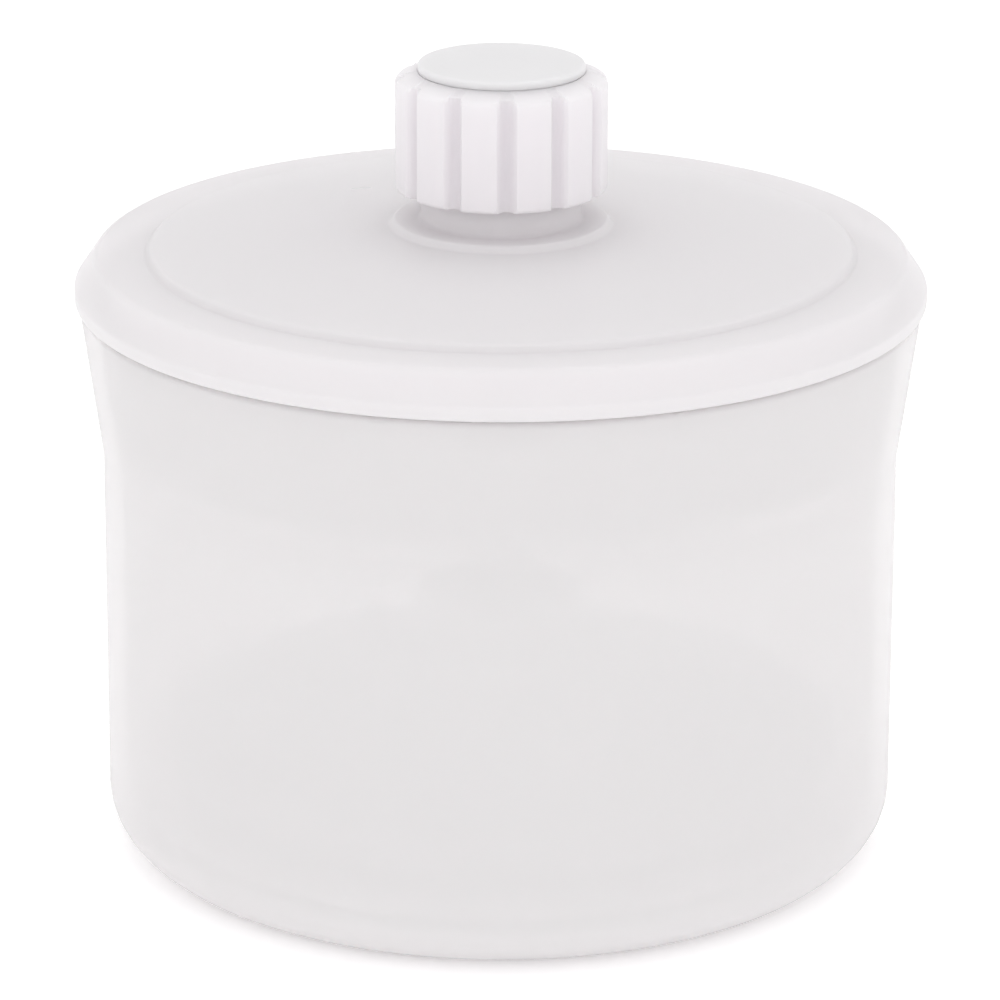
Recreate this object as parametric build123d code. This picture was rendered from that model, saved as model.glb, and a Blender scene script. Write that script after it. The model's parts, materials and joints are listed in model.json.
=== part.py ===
from build123d import *
import os

# Push-and-twist pill crusher: a round cup, a push-in lid with a guide neck, and a pestle on a
# ribbed knob. Millimetres, +Z up, origin at the middle of the underside, +Z on the axis.

# Cup
BASE_R = 28.3
BASE_ROUND = 4.2
BEND_R = 28.2
BEND_Z = 29.2
RIM_R = 29.7
RIM_Z = 40.2
MOUTH_WALL = 1.3
WALL = 1.55
FLOOR_Z = 2.6
FLOOR_ROUND = 3.0
LEDGE_R = 26.95
FOOT_INNER_R = 22.4
FOOT_RECESS = 0.5

# Lid
FLANGE_R = 30.0
LIP_BOTTOM = 40.3
LIP_TOP = 41.3
SHOULDER_R = 28.5
SHOULDER_Z = 43.5
PANEL_R = 24.6
PANEL_EDGE_Z = 44.0
PANEL_MID_R = 17.0
PANEL_MID_Z = 44.95
PANEL_WALL = 1.4
SKIRT_ROOT_Z = 41.5
HUB_ROOT_Z = 43.9
COLLAR_R = 7.9
COLLAR_Z = 45.8
COLLAR_FOOT_Z = 45.3
NECK_R = 5.65
NECK_SHOULDER_Z = 47.8
SPIGOT_R = 4.6
SPIGOT_TOP = 52.0
HUB_R = 6.2
HUB_BOTTOM = 36.0
SKIRT_BOTTOM = 31.5
SKIRT_WALL = 1.15
SKIRT_GAP = 0.08

# Guide
BUSH_R = 3.6
SEAL_LEDGE_R = 3.0
SEAL_LEDGE_Z = 36.8
SEAL_TOP = 39.0
RUNNING_GAP = 0.05

# Knob
KNOB_BOTTOM = 48.0
RIB_R = 7.45
RIB_TOP = 55.8
RIB_COUNT = 12
RIB_ROUND = 0.22
GROOVE_R = 0.5
GROOVE_CENTRE_R = 7.15
FIRST_GROOVE_DEG = -87.0
KNOB_SOCKET_R = 5.0
KNOB_WEB_BOTTOM = 53.4
KNOB_WEB_TOP = 55.2
CAP_R = 5.9
CAP_SEAT_Z = 56.4
CAP_TOP = 57.2

# Stem and the stop on it
STEM_R = 2.5
STEM_BOTTOM = 6.6
STEM_FLAT = 2.1
SHOULDER_BOTTOM = 15.0
STOP_BOTTOM = 16.0
STOP_TOP = 18.2
STOP_R = 6.0
CLIP_BOTTOM = 17.3
CLIP_TOP = 18.1
CLIP_R = 3.8
CLIP_GROOVE_R = 2.2
SCREW_R = 1.0
SCREW_BOTTOM = 49.0

# Crushing faces
ANVIL_R = 23.4
ANVIL_TOP = 4.0
RIDGE_HEIGHT = 0.5
RIDGE_WIDTH = 0.8
RIDGE_COUNT = 24
RIDGE_INNER_R = 7.0
RIDGE_OUTER_R = 21.5
CRUSH_TIP_Z = 4.9
CRUSH_PLATE_TOP = 6.6
HEAD_R = 24.5
HEAD_TOP = 8.2
HEAD_HUB_R = 4.8
HEAD_HUB_TOP = 14.2
WEB_COUNT = 8
WEB_WIDTH = 1.0
PIN_R = 0.8
PIN_Z = 11.2
PIN_HALF_LENGTH = 4.4


def turned(*corners):
    """Solid of revolution about Z; each corner is (radius, height) or (radius, height, rounding)."""
    points = [(corner[0], 0, corner[1]) for corner in corners]
    rounds = [corner[2] if len(corner) == 3 else 0 for corner in corners]
    outline = FilletPolyline(*points, radius=rounds, close=True)
    return revolve(make_face(outline), Axis.Z)


def ring(inner_r, outer_r, bottom, top, rounding=0.0):
    """Flat ring about Z with rounded corners."""
    return turned(
        (inner_r, bottom, rounding),
        (outer_r, bottom, rounding),
        (outer_r, top, rounding),
        (inner_r, top, rounding),
    )


def drum(radius, bottom, top):
    """Plain cylinder about Z from one height to another."""
    return Pos(0, 0, bottom) * Cylinder(radius, top - bottom, align=(Align.CENTER, Align.CENTER, Align.MIN))


def around(count, shape, first_deg=0.0):
    """Copies of a shape, evenly spaced about Z."""
    step = 360 / count
    return [Rot(0, 0, first_deg + step * number) * shape for number in range(count)]


def mouth_inner_r(height):
    """Inner radius of the flared mouth of the cup at a height."""
    share = (height - BEND_Z) / (RIM_Z - BEND_Z)
    return LEDGE_R + share * (RIM_R - MOUTH_WALL - LEDGE_R)


def cup():
    return turned(
        (0, FOOT_RECESS),
        (FOOT_INNER_R - 0.5, FOOT_RECESS, 0.3),
        (FOOT_INNER_R, 0, 0.2),
        (BASE_R, 0, BASE_ROUND),
        (BEND_R, BEND_Z, 10),
        (RIM_R, RIM_Z, 0.4),
        (RIM_R - MOUTH_WALL, RIM_Z, 0.3),
        (LEDGE_R, BEND_Z, 0.1),
        (BEND_R - WALL - 0.1, BEND_Z, 0.15),
        (BASE_R - WALL, FLOOR_Z, FLOOR_ROUND),
        (0, FLOOR_Z),
    )


def ridges(bottom, height):
    """Radial ridges that stand on a disc."""
    length = RIDGE_OUTER_R - RIDGE_INNER_R
    middle = (RIDGE_OUTER_R + RIDGE_INNER_R) / 2
    ridge = Pos(middle, 0, bottom + height / 2) * Box(length, RIDGE_WIDTH, height)
    return around(RIDGE_COUNT, ridge)


def anvil_plate():
    plate = turned(
        (0, FLOOR_Z),
        (ANVIL_R, FLOOR_Z),
        (ANVIL_R, ANVIL_TOP, 0.4),
        (0, ANVIL_TOP),
    )
    bed = 0.2
    return plate + ridges(ANVIL_TOP - bed, RIDGE_HEIGHT + bed)


def lid_shell():
    skirt_top_r = mouth_inner_r(LIP_BOTTOM) - SKIRT_GAP
    skirt_low_r = mouth_inner_r(SKIRT_BOTTOM) - SKIRT_GAP
    return turned(
        (BUSH_R, SPIGOT_TOP),
        (SPIGOT_R, SPIGOT_TOP, 0.3),
        (SPIGOT_R, NECK_SHOULDER_Z),
        (NECK_R, NECK_SHOULDER_Z, 0.2),
        (NECK_R, COLLAR_Z, 0.3),
        (COLLAR_R - 0.4, COLLAR_Z, 0.3),
        (COLLAR_R, COLLAR_FOOT_Z, 0.3),
        (PANEL_MID_R, PANEL_MID_Z, 100),
        (PANEL_R, PANEL_EDGE_Z, 0.6),
        (PANEL_R + 0.4, SHOULDER_Z, 0.25),
        (SHOULDER_R, SHOULDER_Z, 0.6),
        (FLANGE_R, LIP_TOP, 0.4),
        (FLANGE_R, LIP_BOTTOM, 0.3),
        (skirt_top_r, LIP_BOTTOM, 0.2),
        (skirt_low_r, SKIRT_BOTTOM, 0.15),
        (skirt_low_r - SKIRT_WALL, SKIRT_BOTTOM, 0.15),
        (skirt_top_r - SKIRT_WALL, SKIRT_ROOT_Z, 0.8),
        (PANEL_R, SHOULDER_Z - PANEL_WALL, 0.6),
        (PANEL_R - 1.2, PANEL_EDGE_Z - PANEL_WALL, 0.6),
        (PANEL_MID_R, PANEL_MID_Z - PANEL_WALL, 60),
        (HUB_R + 0.3, HUB_ROOT_Z, 0.8),
        (HUB_R, HUB_BOTTOM, 0.3),
        (SEAL_LEDGE_R, HUB_BOTTOM, 0.2),
        (SEAL_LEDGE_R, SEAL_LEDGE_Z),
        (BUSH_R, SEAL_LEDGE_Z),
    )


def skirt_seal():
    outer_r = mouth_inner_r(SKIRT_BOTTOM) - SKIRT_GAP - 0.05
    return ring(outer_r - SKIRT_WALL, outer_r - 0.05, SKIRT_BOTTOM - 1.1, SKIRT_BOTTOM, 0.3)


def guide_bush():
    bore_r = STEM_R + RUNNING_GAP
    flange_top = SPIGOT_TOP + 0.7
    return turned(
        (bore_r, SEAL_TOP + 0.1),
        (BUSH_R, SEAL_TOP + 0.1, 0.2),
        (BUSH_R, SPIGOT_TOP),
        (SPIGOT_R, SPIGOT_TOP),
        (SPIGOT_R, flange_top, 0.2),
        (bore_r, flange_top, 0.2),
    )


def stem_wiper():
    return ring(STEM_R + RUNNING_GAP, BUSH_R, SEAL_LEDGE_Z, SEAL_TOP, 0.35)


def knob_body():
    groove = Pos(GROOVE_CENTRE_R, 0) * (Circle(GROOVE_R) + Pos(1, 0) * Rectangle(2, 2 * GROOVE_R))
    section = Circle(RIB_R) - around(RIB_COUNT, groove, FIRST_GROOVE_DEG)
    rib_corners = [v for v in section.vertices() if abs(v.center().length - RIB_R) < 0.01]
    ribbed = Pos(0, 0, KNOB_BOTTOM) * extrude(fillet(rib_corners, RIB_ROUND), CAP_TOP - KNOB_BOTTOM)
    envelope = turned(
        (KNOB_SOCKET_R, KNOB_BOTTOM, 0.15),
        (RIB_R, KNOB_BOTTOM, 0.3),
        (RIB_R, RIB_TOP, 0.45),
        (CAP_R, CAP_SEAT_Z, 0.15),
        (CAP_R - 0.6, CAP_SEAT_Z - 0.5),
        (SPIGOT_R - 0.6, CAP_SEAT_Z - 0.5),
        (SPIGOT_R - 0.6, KNOB_WEB_TOP),
        (0, KNOB_WEB_TOP),
        (0, KNOB_WEB_BOTTOM),
        (KNOB_SOCKET_R, KNOB_WEB_BOTTOM, 0.4),
    )
    return ribbed & envelope - stem_top_key()


def stem_top_key():
    """Flatted end of the stem, which keys it to the knob."""
    end = drum(STEM_R, KNOB_WEB_BOTTOM - 0.2, KNOB_WEB_TOP)
    return end & Pos(0, 0, KNOB_WEB_TOP) * Box(10, 2 * STEM_FLAT, 10)


def knob_cap():
    plug_r = SPIGOT_R - 0.7
    return turned(
        (0, KNOB_WEB_TOP + 0.9),
        (plug_r - 0.8, KNOB_WEB_TOP + 0.9),
        (plug_r, CAP_SEAT_Z - 0.5),
        (CAP_R - 0.65, CAP_SEAT_Z - 0.5),
        (CAP_R - 0.05, CAP_SEAT_Z),
        (CAP_R - 0.05, CAP_TOP - 0.25, 0.22),
        (3.0, CAP_TOP - 0.03, 20),
        (0, CAP_TOP),
    )


def knob_screw():
    head = turned(
        (0, KNOB_WEB_TOP),
        (2.4, KNOB_WEB_TOP),
        (2.4, KNOB_WEB_TOP + 0.8, 0.4),
        (0, KNOB_WEB_TOP + 0.8),
    )
    slot = Pos(0, 0, KNOB_WEB_TOP + 0.6) * (Box(2.6, 0.5, 0.6) + Box(0.5, 2.6, 0.6))
    return head - slot + drum(SCREW_R, SCREW_BOTTOM, KNOB_WEB_TOP)


def stem():
    rod = turned(
        (0, STEM_BOTTOM),
        (STEM_R, STEM_BOTTOM, 0.3),
        (STEM_R, SHOULDER_BOTTOM),
        (STEM_R + 0.9, SHOULDER_BOTTOM, 0.3),
        (STEM_R + 0.9, STOP_BOTTOM - RUNNING_GAP, 0.2),
        (STEM_R, STOP_BOTTOM - RUNNING_GAP),
        (STEM_R, CLIP_BOTTOM),
        (CLIP_GROOVE_R, CLIP_BOTTOM),
        (CLIP_GROOVE_R, CLIP_TOP),
        (STEM_R, CLIP_TOP),
        (STEM_R, KNOB_WEB_BOTTOM),
        (0, KNOB_WEB_BOTTOM),
    )
    rod += stem_top_key()
    pin_hole = Pos(0, 0, PIN_Z) * Rot(0, 90, 0) * Cylinder(PIN_R, 4 * STEM_R)
    return rod - pin_hole - drum(SCREW_R, SCREW_BOTTOM, KNOB_WEB_TOP)


def stop_washer():
    bore_r = STEM_R + RUNNING_GAP
    return turned(
        (bore_r, STOP_BOTTOM),
        (STOP_R, STOP_BOTTOM, 0.4),
        (STOP_R, STOP_TOP, 0.4),
        (CLIP_R + 0.3, STOP_TOP),
        (CLIP_R + 0.3, CLIP_BOTTOM - RUNNING_GAP),
        (bore_r, CLIP_BOTTOM - RUNNING_GAP),
    )


def retaining_clip():
    slit = Pos(CLIP_R, 0, (CLIP_BOTTOM + CLIP_TOP) / 2) * Box(2 * CLIP_R, 2.4, 2)
    return ring(CLIP_GROOVE_R, CLIP_R, CLIP_BOTTOM, CLIP_TOP) - slit


def crush_plate():
    plate = turned(
        (0, CRUSH_TIP_Z + RIDGE_HEIGHT),
        (ANVIL_R, CRUSH_TIP_Z + RIDGE_HEIGHT, 0.4),
        (ANVIL_R, CRUSH_PLATE_TOP),
        (0, CRUSH_PLATE_TOP),
    )
    bed = 0.2
    return plate + ridges(CRUSH_TIP_Z, RIDGE_HEIGHT + bed)


def pestle_head():
    disc = turned(
        (0, CRUSH_PLATE_TOP),
        (ANVIL_R, CRUSH_PLATE_TOP),
        (ANVIL_R + 0.1, CRUSH_TIP_Z + 1.0),
        (HEAD_R - 0.4, CRUSH_TIP_Z + 1.0, 0.5),
        (HEAD_R, HEAD_TOP, 0.4),
        (HEAD_HUB_R + 0.4, HEAD_TOP, 0.8),
        (HEAD_HUB_R, HEAD_HUB_TOP, 0.4),
        (0, HEAD_HUB_TOP),
    )
    web = Polyline(
        (HEAD_HUB_R - 1, 0, HEAD_TOP - 0.5),
        (HEAD_R - 2.5, 0, HEAD_TOP - 0.5),
        (HEAD_R - 2.5, 0, HEAD_TOP + 0.3),
        (HEAD_HUB_R - 1, 0, HEAD_HUB_TOP - 1.6),
        close=True,
    )
    web_solid = extrude(make_face(web), WEB_WIDTH / 2, both=True)
    pin_hole = Pos(0, 0, PIN_Z) * Rot(0, 90, 0) * Cylinder(PIN_R, 4 * HEAD_HUB_R)
    shape = disc + around(WEB_COUNT, web_solid, 360 / WEB_COUNT / 2)
    return shape - drum(STEM_R, CRUSH_PLATE_TOP, HEAD_HUB_TOP) - pin_hole


def head_pin():
    return Pos(0, 0, PIN_Z) * Rot(0, 90, 0) * Cylinder(PIN_R, 2 * PIN_HALF_LENGTH)


PIECES = {
    "cup": cup,
    "anvil_plate": anvil_plate,
    "lid_shell": lid_shell,
    "skirt_seal": skirt_seal,
    "guide_bush": guide_bush,
    "stem_wiper": stem_wiper,
    "stop_washer": stop_washer,
    "stem": stem,
    "retaining_clip": retaining_clip,
    "knob_body": knob_body,
    "knob_cap": knob_cap,
    "knob_screw": knob_screw,
    "pestle_head": pestle_head,
    "crush_plate": crush_plate,
    "head_pin": head_pin,
}

os.makedirs("parts", exist_ok=True)
for name, make in PIECES.items():
    export_step(make(), f"parts/{name}.step")
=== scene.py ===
import json
import math

import bmesh
import bpy
from mathutils import Euler, Matrix, Vector


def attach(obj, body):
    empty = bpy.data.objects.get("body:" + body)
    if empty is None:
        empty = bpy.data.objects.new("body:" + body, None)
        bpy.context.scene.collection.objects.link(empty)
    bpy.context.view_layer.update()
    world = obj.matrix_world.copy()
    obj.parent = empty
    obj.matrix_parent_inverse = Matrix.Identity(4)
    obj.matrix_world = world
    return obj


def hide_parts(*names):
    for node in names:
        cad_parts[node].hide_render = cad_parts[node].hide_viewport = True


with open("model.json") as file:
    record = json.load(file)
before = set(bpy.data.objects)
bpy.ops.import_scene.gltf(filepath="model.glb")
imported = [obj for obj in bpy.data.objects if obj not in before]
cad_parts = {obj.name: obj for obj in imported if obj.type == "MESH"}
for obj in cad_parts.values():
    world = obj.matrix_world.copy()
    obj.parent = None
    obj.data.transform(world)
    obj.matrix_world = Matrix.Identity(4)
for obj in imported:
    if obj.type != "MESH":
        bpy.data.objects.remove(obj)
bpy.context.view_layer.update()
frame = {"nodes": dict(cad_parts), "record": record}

MM = 0.001
TURN = 2 * math.pi

# Sizes shared with the CAD model, in millimetres
BASE_R, BASE_ROUND, BEND_R, BEND_Z = 28.3, 4.2, 28.2, 29.2
FOOT_R, FOOT_HOLLOW = 22.4, 0.5
RIM_R, RIM_Z, MOUTH_WALL, WALL = 29.7, 40.2, 1.3, 1.55
LEDGE_R, FLOOR_Z = 26.95, 2.6
PANEL_R, PANEL_EDGE_Z, PANEL_WALL = 24.6, 44.0, 1.4
PANEL_MID_R, PANEL_MID_Z = 17.0, 44.95
SHOULDER_R, SHOULDER_Z = 28.5, 43.5
FLANGE_R, LIP_BOTTOM, LIP_TOP = 30.0, 40.3, 41.3
SKIRT_BOTTOM, SKIRT_WALL, SKIRT_GAP = 31.5, 1.15, 0.08
COLLAR_R, COLLAR_FOOT, COLLAR_Z = 7.9, 45.3, 45.8
NECK_R, NECK_SHOULDER, SPIGOT_R, SPIGOT_TOP = 5.65, 47.8, 4.6, 52.0
HUB_R, HUB_BOTTOM, BUSH_R = 6.2, 36.0, 3.6
WIPER_LEDGE_R, WIPER_LEDGE_Z = 3.0, 36.8
KNOB_BOTTOM, RIB_R, RIB_TOP, RIB_COUNT = 48.0, 7.45, 55.8, 12
GROOVE_R, GROOVE_CENTRE_R, FIRST_GROOVE = 0.5, 7.15, math.radians(-87)
CAP_R, CAP_SEAT_Z, CAP_TOP = 5.9, 56.4, 57.2

# Fineness of the meshes
ROUND_STEPS, LATHE_STEPS, CAP_STEPS = 8, 256, 128
GROOVE_STEPS, RIB_STEPS = 10, 8
SHARP_ANGLE = math.radians(35)

# Surface of the plastics
SCATTER_DEPTH, SCATTER_REACH = 3 * MM, (1.0, 0.97, 0.97)
COAT_ROUGHNESS, GRAIN_SCALE, GRAIN_SPREAD = 0.3, 160, 0.04


# ---------------------------------------------------------------- geometry

def rounded(corners):
    """Points of an outline whose corners are (radius, height) or (radius, height, rounding)."""
    points = []
    count = len(corners)
    for number, corner in enumerate(corners):
        here = Vector(corner[:2])
        size = corner[2] if len(corner) == 3 else 0
        if not size:
            points.append(here)
            continue
        before = (Vector(corners[number - 1][:2]) - here).normalized()
        after = (Vector(corners[(number + 1) % count][:2]) - here).normalized()
        half = before.angle(after) / 2
        middle = here + (before + after).normalized() * (size / math.sin(half))
        start = here + before * (size / math.tan(half)) - middle
        end = here + after * (size / math.tan(half)) - middle
        sweep = start.angle_signed(end)
        for step in range(ROUND_STEPS + 1):
            turn = -sweep * step / ROUND_STEPS
            spun = Vector((start.x * math.cos(turn) - start.y * math.sin(turn),
                           start.x * math.sin(turn) + start.y * math.cos(turn)))
            points.append(middle + spun)
    return points


def mesh_object(name, build):
    """New object whose mesh is filled by build(bmesh)."""
    bm = bmesh.new()
    build(bm)
    bmesh.ops.remove_doubles(bm, verts=bm.verts, dist=1e-7)
    bmesh.ops.recalc_face_normals(bm, faces=bm.faces)
    mesh = bpy.data.meshes.new(name)
    bm.to_mesh(mesh)
    bm.free()
    mesh.shade_smooth()
    obj = bpy.data.objects.new(name, mesh)
    bpy.context.scene.collection.objects.link(obj)
    return obj


def split_sharp(obj):
    """Keeps hard corners hard while the rest is smooth."""
    bm = bmesh.new()
    bm.from_mesh(obj.data)
    for edge in bm.edges:
        if len(edge.link_faces) == 2 and edge.calc_face_angle(0) > SHARP_ANGLE:
            edge.smooth = False
    bm.to_mesh(obj.data)
    bm.free()


def loft(bm, rings):
    """Joins closed rings of equal length; a ring that is a single point closes the shape."""
    made = []
    for ring in rings:
        made.append([bm.verts.new(point) for point in ring])
    for low, high in zip(made, made[1:] + made[:1]):
        count = max(len(low), len(high))
        if len(low) == 1 and len(high) == 1:
            continue
        for step in range(count):
            after = (step + 1) % count
            corners = [low[step % len(low)], low[after % len(low)],
                       high[after % len(high)], high[step % len(high)]]
            bm.faces.new(list(dict.fromkeys(corners)))


def lathe(name, corners, steps=LATHE_STEPS):
    """Smooth solid of revolution from an outline in millimetres."""
    def build(bm):
        rings = []
        for radius, height in rounded(corners):
            if radius < 1e-6:
                rings.append([(0, 0, height * MM)])
                continue
            rings.append([(radius * MM * math.cos(TURN * s / steps),
                           radius * MM * math.sin(TURN * s / steps), height * MM) for s in range(steps)])
        loft(bm, rings)
    obj = mesh_object(name, build)
    split_sharp(obj)
    return obj


def mouth_inner_r(height):
    """Inner radius of the cup's flared mouth at a height."""
    share = (height - BEND_Z) / (RIM_Z - BEND_Z)
    return LEDGE_R + share * (RIM_R - MOUTH_WALL - LEDGE_R)


def make_cup():
    bend_round, inner_round = 10, 3.0
    return lathe("cup_wall", [
        (0, FOOT_HOLLOW),
        (FOOT_R - 0.5, FOOT_HOLLOW, 0.3),
        (FOOT_R, 0, 0.2),
        (BASE_R, 0, BASE_ROUND),
        (BEND_R, BEND_Z, bend_round),
        (RIM_R, RIM_Z, 0.4),
        (RIM_R - MOUTH_WALL, RIM_Z, 0.3),
        (LEDGE_R, BEND_Z, 0.1),
        (BEND_R - WALL - 0.1, BEND_Z, 0.15),
        (BASE_R - WALL, FLOOR_Z, inner_round),
        (0, FLOOR_Z),
    ])


def make_lid():
    top_r = mouth_inner_r(LIP_BOTTOM) - SKIRT_GAP
    low_r = mouth_inner_r(SKIRT_BOTTOM) - SKIRT_GAP
    dome_round = 100
    return lathe("lid_cover", [
        (BUSH_R, SPIGOT_TOP),
        (SPIGOT_R, SPIGOT_TOP, 0.3),
        (SPIGOT_R, NECK_SHOULDER),
        (NECK_R, NECK_SHOULDER, 0.2),
        (NECK_R, COLLAR_Z, 0.3),
        (COLLAR_R - 0.4, COLLAR_Z, 0.3),
        (COLLAR_R, COLLAR_FOOT, 0.3),
        (PANEL_MID_R, PANEL_MID_Z, dome_round),
        (PANEL_R, PANEL_EDGE_Z, 0.6),
        (PANEL_R + 0.4, SHOULDER_Z, 0.25),
        (SHOULDER_R, SHOULDER_Z, 0.6),
        (FLANGE_R, LIP_TOP, 0.4),
        (FLANGE_R, LIP_BOTTOM, 0.3),
        (top_r, LIP_BOTTOM, 0.2),
        (low_r, SKIRT_BOTTOM, 0.15),
        (low_r - SKIRT_WALL, SKIRT_BOTTOM, 0.15),
        (top_r - SKIRT_WALL, 41.5, 0.8),
        (PANEL_R, SHOULDER_Z - PANEL_WALL, 0.6),
        (PANEL_R - 1.2, PANEL_EDGE_Z - PANEL_WALL, 0.6),
        (PANEL_MID_R, PANEL_MID_Z - PANEL_WALL, 60),
        (HUB_R + 0.3, 43.9, 0.8),
        (HUB_R, HUB_BOTTOM, 0.3),
        (WIPER_LEDGE_R, HUB_BOTTOM, 0.2),
        (WIPER_LEDGE_R, WIPER_LEDGE_Z),
        (BUSH_R, WIPER_LEDGE_Z),
    ])


def rib_outline():
    """Closed outline of the ribbed knob, seen from above, as (x, y) in millimetres."""
    half_groove = math.asin(GROOVE_R / RIB_R)
    edge = 0.03
    points = []
    for number in range(RIB_COUNT):
        centre = FIRST_GROOVE + TURN * number / RIB_COUNT
        for step in range(GROOVE_STEPS + 1):
            angle = math.pi / 2 + math.pi * step / GROOVE_STEPS
            across = GROOVE_R * math.sin(angle)
            along = GROOVE_CENTRE_R + GROOVE_R * math.cos(angle)
            points.append((along, -across, centre))
        start = half_groove + edge
        stop = TURN / RIB_COUNT - half_groove - edge
        for step in range(RIB_STEPS + 1):
            angle = start + (stop - start) * step / RIB_STEPS
            points.append((RIB_R * math.cos(angle), RIB_R * math.sin(angle), centre))
    return [(x * math.cos(a) - y * math.sin(a), x * math.sin(a) + y * math.cos(a)) for x, y, a in points]


def make_knob():
    socket_r, web_bottom, web_top = 5.0, 53.4, 55.2
    outline = rib_outline()
    profile = rounded([
        (socket_r, KNOB_BOTTOM, 0.15),
        (RIB_R, KNOB_BOTTOM, 0.3),
        (RIB_R, RIB_TOP, 0.45),
        (CAP_R, CAP_SEAT_Z, 0.15),
        (CAP_R - 0.6, CAP_SEAT_Z - 0.5),
        (SPIGOT_R - 0.6, CAP_SEAT_Z - 0.5),
        (SPIGOT_R - 0.6, web_top),
        (0, web_top),
        (0, web_bottom),
        (socket_r, web_bottom, 0.4),
    ])

    def build(bm):
        rings = []
        for radius, height in profile:
            if radius < 1e-6:
                rings.append([(0, 0, height * MM)])
                continue
            ring = []
            for x, y in outline:
                share = min(1.0, radius / math.hypot(x, y))
                ring.append((x * share * MM, y * share * MM, height * MM))
            rings.append(ring)
        loft(bm, rings)

    obj = mesh_object("knob_grip", build)
    split_sharp(obj)
    return obj


def make_cap():
    plug_r, plug_z = SPIGOT_R - 0.7, 56.1
    return lathe("knob_button", [
        (0, plug_z),
        (plug_r - 0.8, plug_z),
        (plug_r, CAP_SEAT_Z - 0.5),
        (CAP_R - 0.65, CAP_SEAT_Z - 0.5),
        (CAP_R - 0.05, CAP_SEAT_Z),
        (CAP_R - 0.05, CAP_TOP - 0.25, 0.22),
        (3.0, CAP_TOP - 0.03, 20),
        (0, CAP_TOP),
    ], steps=CAP_STEPS)


# ---------------------------------------------------------------- materials

def plastic(name, colour, through=0.0, roughness=0.4, gloss=0.3, scatter=0.7, index=1.1):
    """Milky moulded plastic: part of the light passes, the rest scatters, under a soft gloss."""
    material = bpy.data.materials.new(name)
    material.use_nodes = True
    tree = material.node_tree
    shader = tree.nodes["Principled BSDF"]
    shader.inputs["Base Color"].default_value = (*colour, 1)
    shader.inputs["IOR"].default_value = index
    shader.inputs["Transmission Weight"].default_value = through
    shader.inputs["Subsurface Weight"].default_value = scatter
    shader.inputs["Subsurface Radius"].default_value = SCATTER_REACH
    shader.inputs["Subsurface Scale"].default_value = SCATTER_DEPTH
    shader.inputs["Coat Weight"].default_value = gloss
    shader.inputs["Coat Roughness"].default_value = COAT_ROUGHNESS
    noise = tree.nodes.new("ShaderNodeTexNoise")
    noise.inputs["Scale"].default_value = GRAIN_SCALE
    spread = tree.nodes.new("ShaderNodeMapRange")
    spread.inputs["To Min"].default_value = roughness - GRAIN_SPREAD
    spread.inputs["To Max"].default_value = roughness + GRAIN_SPREAD
    coords = tree.nodes.new("ShaderNodeTexCoord")
    tree.links.new(coords.outputs["Object"], noise.inputs["Vector"])
    tree.links.new(noise.outputs["Fac"], spread.inputs["Value"])
    tree.links.new(spread.outputs["Result"], shader.inputs["Roughness"])
    return material


def steel(name):
    """Bright brushed steel of the one metal piece."""
    material = bpy.data.materials.new(name)
    material.use_nodes = True
    shader = material.node_tree.nodes["Principled BSDF"]
    shader.inputs["Base Color"].default_value = (0.6, 0.6, 0.6, 1)
    shader.inputs["Metallic"].default_value = 1.0
    shader.inputs["Roughness"].default_value = 0.3
    return material


def dress(obj, material):
    obj.data.materials.clear()
    obj.data.materials.append(material)


MATERIALS = {
    "cup_plastic": plastic("cup_plastic", (0.965, 0.926, 0.940), through=0.36, roughness=0.14, index=1.012),
    "lid_plastic": plastic("lid_plastic", (0.895, 0.86, 0.878), through=0.2, roughness=0.3, index=1.03),
    "knob_plastic": plastic("knob_plastic", (0.89, 0.852, 0.882), through=0.1, index=1.03),
    "cap_plastic": plastic("cap_plastic", (0.89, 0.868, 0.886), through=0.1, index=1.03),
    "insert_plastic": plastic("insert_plastic", (0.985, 0.965, 0.975), through=0.4, index=1.03),
    # soft_seal: near-white with no scatter, a painted highlight that makes the real seal lip show as a
    # bright line through the cup wall
    "soft_seal": plastic("soft_seal", (0.99, 0.99, 0.99), roughness=0.5, scatter=0.0),
    "screw_steel": steel("screw_steel"),
}


# ---------------------------------------------------------------- the object

def make_seal_ring():
    """Slim soft lip under the skirt, seen through the wall as a pale line: the lip is a real piece, and its
    near-white colour is a painted highlight standing for the light along the skirt's lower edge.
    """
    outer_r = mouth_inner_r(SKIRT_BOTTOM) - SKIRT_GAP - 0.1
    lip, neck, soft = 0.3, 0.25, 0.1
    top = SKIRT_BOTTOM
    return lathe("seal_lip", [
        (outer_r - SKIRT_WALL, top - 2 * lip),
        (outer_r - lip, top - 2 * lip),
        (outer_r - lip, top - 3 * lip, soft),
        (outer_r, top - 3 * lip, soft),
        (outer_r, top - 2 * lip, soft),
        (outer_r - neck, top - lip),
        (outer_r - neck, top),
        (outer_r - SKIRT_WALL, top),
    ])


REPLACED = [
    (make_seal_ring, "skirt_seal", "lid_body", "soft_seal"),
    (make_cup, "cup", "cup_body", "cup_plastic"),
    (make_lid, "lid_shell", "lid_body", "lid_plastic"),
    (make_knob, "knob_body", "pestle_body", "knob_plastic"),
    (make_cap, "knob_cap", "pestle_body", "cap_plastic"),
]
for make, node, body, slot in REPLACED:
    piece = make()
    dress(piece, MATERIALS[slot])
    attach(piece, body)
    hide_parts(node)

for entry in frame["record"]["subparts"]:
    dress(frame["nodes"][entry["node"]], MATERIALS[entry["material_slot"]])


# ---------------------------------------------------------------- stage, light and camera

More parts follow.
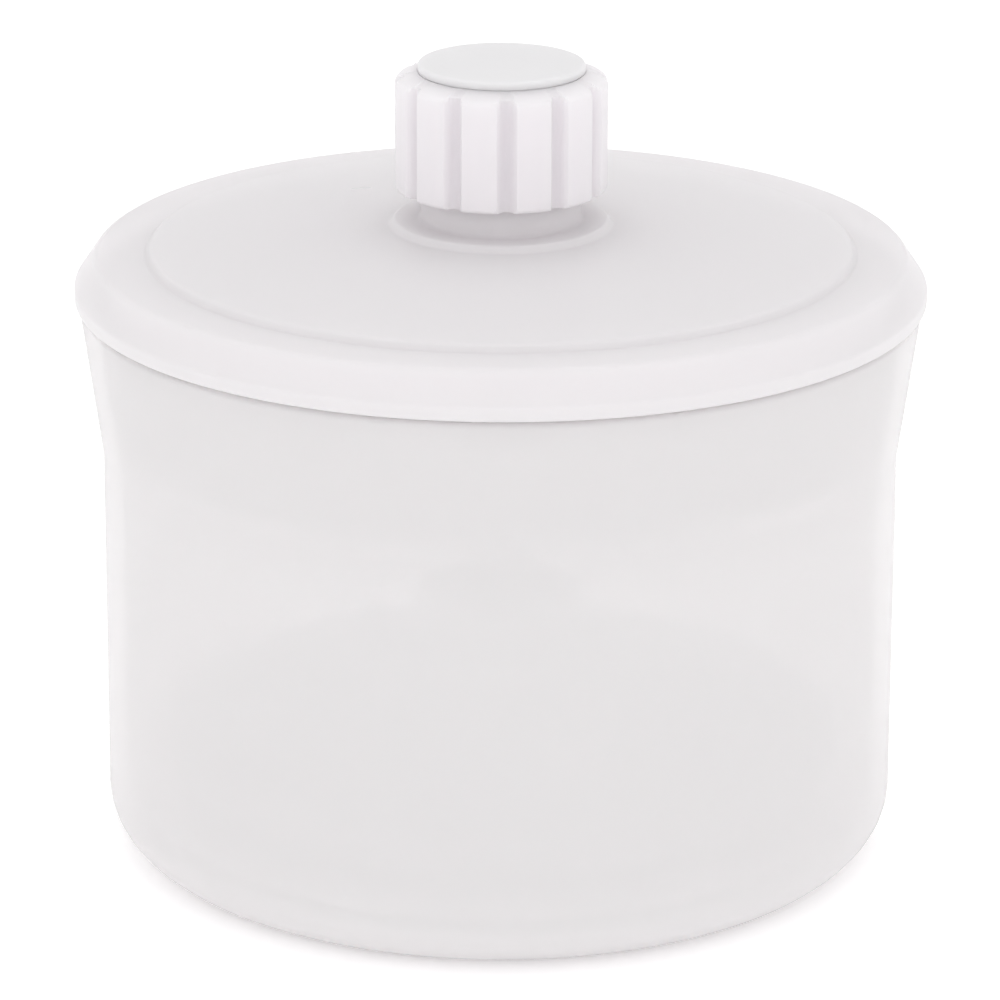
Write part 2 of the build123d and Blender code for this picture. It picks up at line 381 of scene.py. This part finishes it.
def make_floor():
    """Pale floor with a faint glow, which lights the foot and carries the soft shadow."""
    half = 1.5

    def build(bm):
        corners = [(-half, -half, 0), (half, -half, 0), (half, half, 0), (-half, half, 0)]
        bm.faces.new([bm.verts.new(corner) for corner in corners])

    floor = mesh_object("floor", build)
    material = bpy.data.materials.new("floor")
    material.use_nodes = True
    tree = material.node_tree
    shader = tree.nodes["Principled BSDF"]
    shader.inputs["Base Color"].default_value = (0.95, 0.95, 0.95, 1)
    shader.inputs["Roughness"].default_value = 0.9
    shader.inputs["Specular IOR Level"].default_value = 0.1
    glow = tree.nodes.new("ShaderNodeEmission")
    glow.inputs["Strength"].default_value = 0.22
    both = tree.nodes.new("ShaderNodeAddShader")
    tree.links.new(shader.outputs[0], both.inputs[0])
    tree.links.new(glow.outputs[0], both.inputs[1])
    tree.links.new(both.outputs[0], tree.nodes["Material Output"].inputs["Surface"])
    floor.data.materials.append(material)


def make_world():
    """White light from all round; rays that look, reflect or pass through meet a softer grey."""
    world = bpy.data.worlds.new("studio")
    bpy.context.scene.world = world
    world.use_nodes = True
    tree = world.node_tree
    lit = tree.nodes["Background"]
    lit.inputs["Color"].default_value = (1, 1, 1, 1)
    seen = tree.nodes.new("ShaderNodeBackground")
    seen.inputs["Color"].default_value = (0.8, 0.8, 0.8, 1)
    for background in (lit, seen):
        background.inputs["Strength"].default_value = 1.0
    path = tree.nodes.new("ShaderNodeLightPath")
    choice = path.outputs["Is Camera Ray"]
    for kind in ("Is Glossy Ray", "Is Transmission Ray"):
        either = tree.nodes.new("ShaderNodeMath")
        either.operation = "MAXIMUM"
        tree.links.new(choice, either.inputs[0])
        tree.links.new(path.outputs[kind], either.inputs[1])
        choice = either.outputs[0]
    choose = tree.nodes.new("ShaderNodeMixShader")
    tree.links.new(choice, choose.inputs[0])
    tree.links.new(lit.outputs[0], choose.inputs[1])
    tree.links.new(seen.outputs[0], choose.inputs[2])
    tree.links.new(choose.outputs[0], tree.nodes["World Output"].inputs["Surface"])


def lamp(name, place, target, size, power):
    """Round area lamp; places and size in metres, power in watts."""
    light = bpy.data.lights.new(name, "AREA")
    light.shape = "DISK"
    light.size = size
    light.energy = power
    obj = bpy.data.objects.new(name, light)
    obj.location = place
    obj.rotation_euler = (Vector(target) - obj.location).to_track_quat("-Z", "Y").to_euler()
    bpy.context.scene.collection.objects.link(obj)


def make_camera():
    """Long lens, a little above the lid, looking slightly down."""
    distance, target_z = 0.363, 0.020
    rise = math.radians(19.65)
    tilt_down = math.radians(18.94)
    roll = math.radians(0.21)
    data = bpy.data.cameras.new("camera")
    data.sensor_width = 36
    data.lens = 181.7
    data.clip_start = 0.01
    camera = bpy.data.objects.new("camera", data)
    camera.location = (0, -distance * math.cos(rise), target_z + distance * math.sin(rise))
    level = Euler((math.pi / 2 - tilt_down, 0, 0)).to_matrix()
    camera.rotation_euler = (level @ Matrix.Rotation(roll, 3, "Z")).to_euler()
    bpy.context.scene.collection.objects.link(camera)
    bpy.context.scene.camera = camera


MIDDLE, FOOT = (0, 0, 0.03), (0, 0, 0.01)
make_floor()
make_world()
lamp("top", (0, 0.05, 0.6), MIDDLE, size=0.5, power=0.2)
lamp("front", (0.03, -0.5, 0.30), MIDDLE, size=0.04, power=0.06)
lamp("low", (0, -0.55, 0.02), FOOT, size=0.25, power=0.3)
make_camera()
bpy.context.scene.view_settings.view_transform = "Standard"
